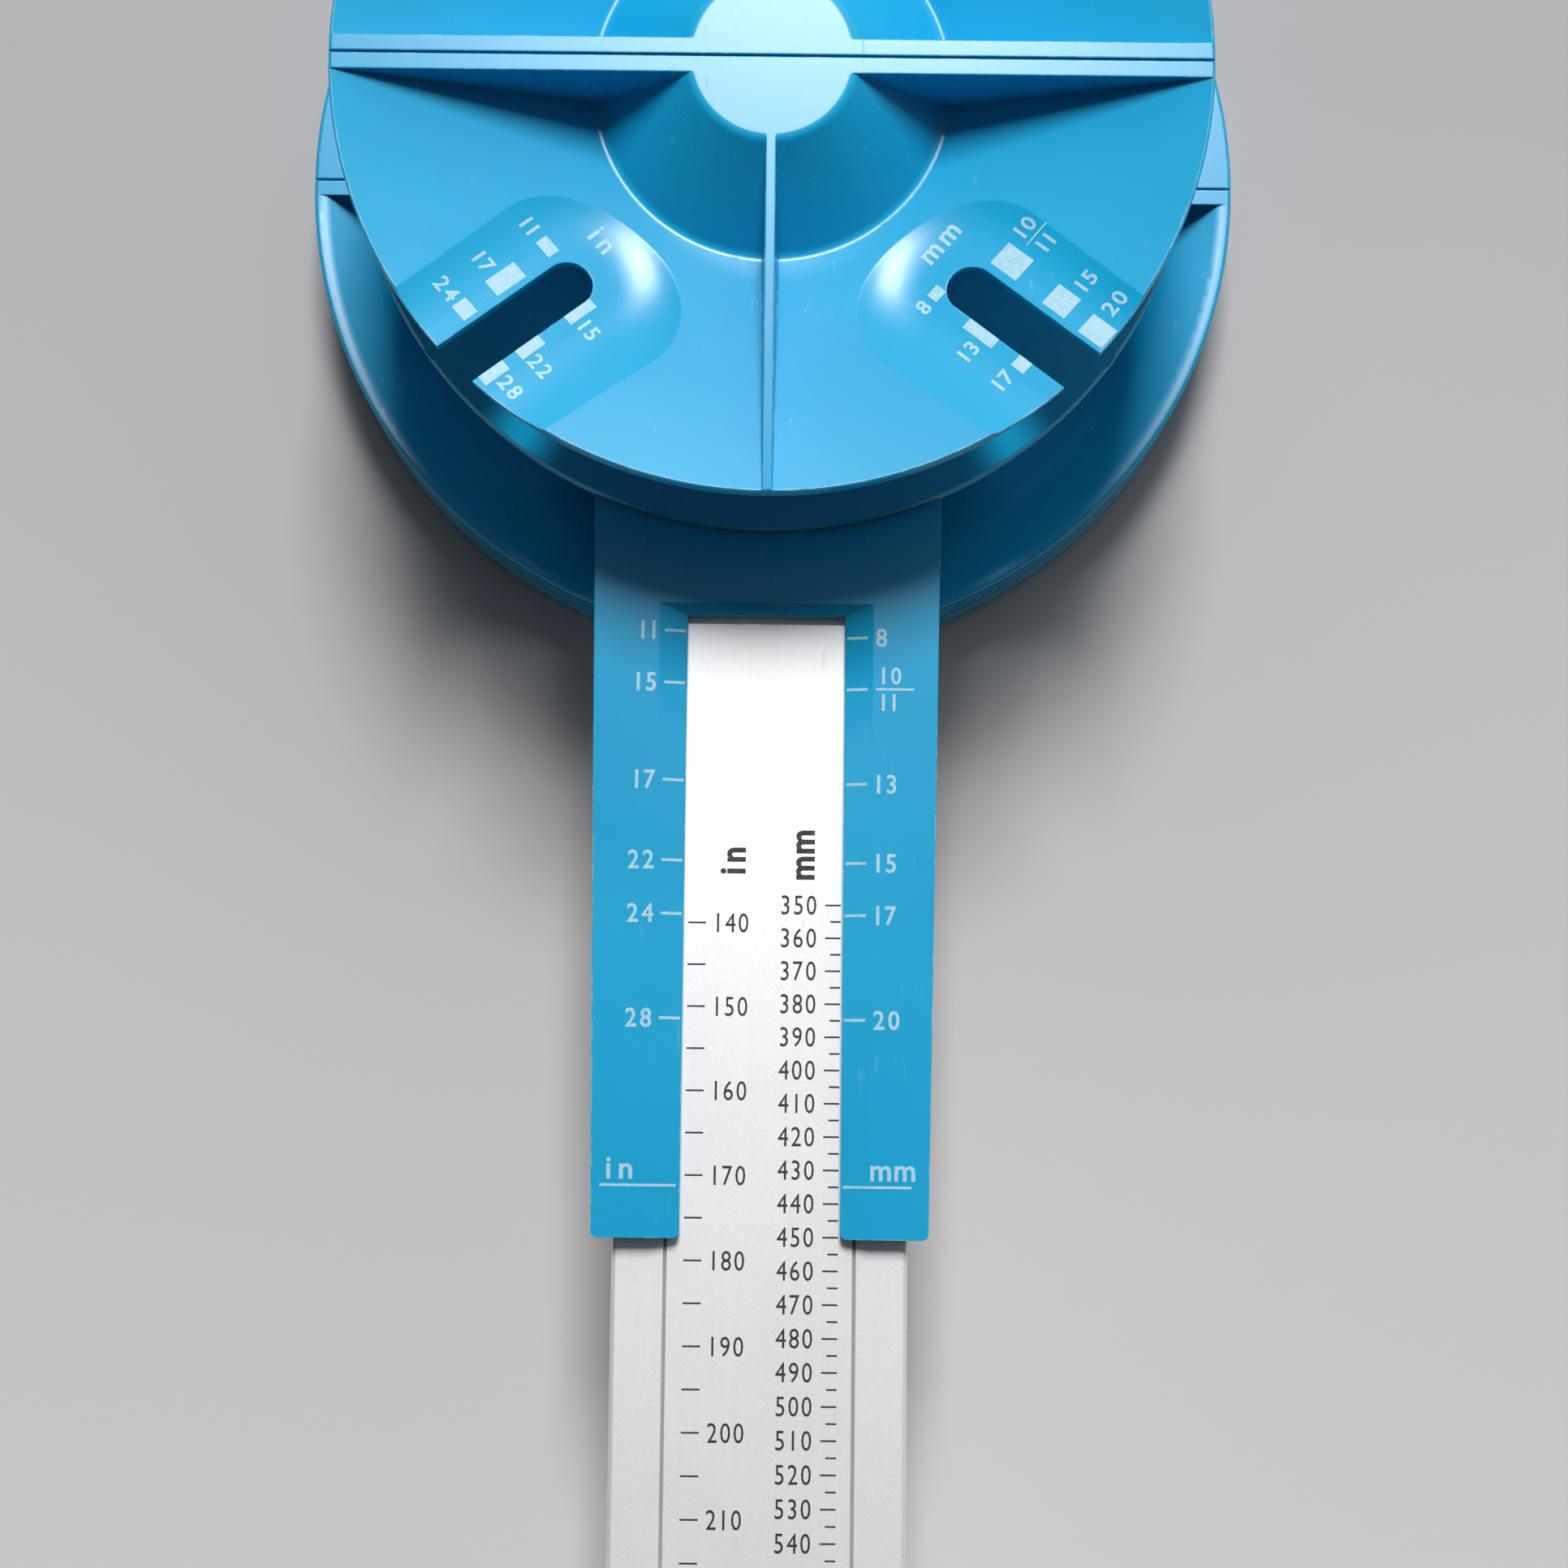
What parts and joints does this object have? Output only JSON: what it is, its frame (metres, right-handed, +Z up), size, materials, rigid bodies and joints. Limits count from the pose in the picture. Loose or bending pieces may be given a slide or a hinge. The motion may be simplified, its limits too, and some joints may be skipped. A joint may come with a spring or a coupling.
{
  "type": "belt length ruler",
  "caption": "Rail with a fixed and a sliding half pulley that measures the length of drive belts, read through a window on the slider.",
  "frame": {"origin": "middle of the whole ruler's footprint, on the bench it stands on", "axes": "+Z up, +Y along the rail towards the fixed head, +X to the right seen with the fixed head far away"},
  "size_m": [0.152, 0.9458, 0.0804],
  "materials": {
    "blue_plastic": "satin moulded blue plastic",
    "rail_metal": "fine-grained anodised aluminium, pale silver",
    "screw_steel": "plain zinc-plated steel",
    "insert_brass": "turned brass",
    "spring_steel": "spring steel strip",
    "pad_plastic": "off-white slippery plastic",
    "stop_plastic": "satin moulded blue plastic"
  },
  "bodies": {
    "frame": {"rail": "rail_metal", "fixed_top_flange": "blue_plastic", "fixed_base": "blue_plastic", "fixed_drum": "blue_plastic", "fixed_keeper": "blue_plastic", "fixed_flange_screws": "screw_steel", "fixed_drum_screws": "screw_steel", "fixed_inserts": "insert_brass", "rail_screws": "screw_steel", "end_stop": "stop_plastic", "end_stop_screws": "screw_steel"},
    "slider": {"slider_top_flange": "blue_plastic", "slider_base": "blue_plastic", "slider_drum": "blue_plastic", "slider_keeper": "blue_plastic", "slider_flange_screws": "screw_steel", "slider_drum_screws": "screw_steel", "slider_inserts": "insert_brass", "drag_pad": "pad_plastic", "drag_spring": "spring_steel"}
  },
  "joints": [
    {"name": "slide", "type": "slide", "parent": "frame", "child": "slider", "axis": [0, -1, 0], "range_m": [0, 0.6825]}
  ]
}
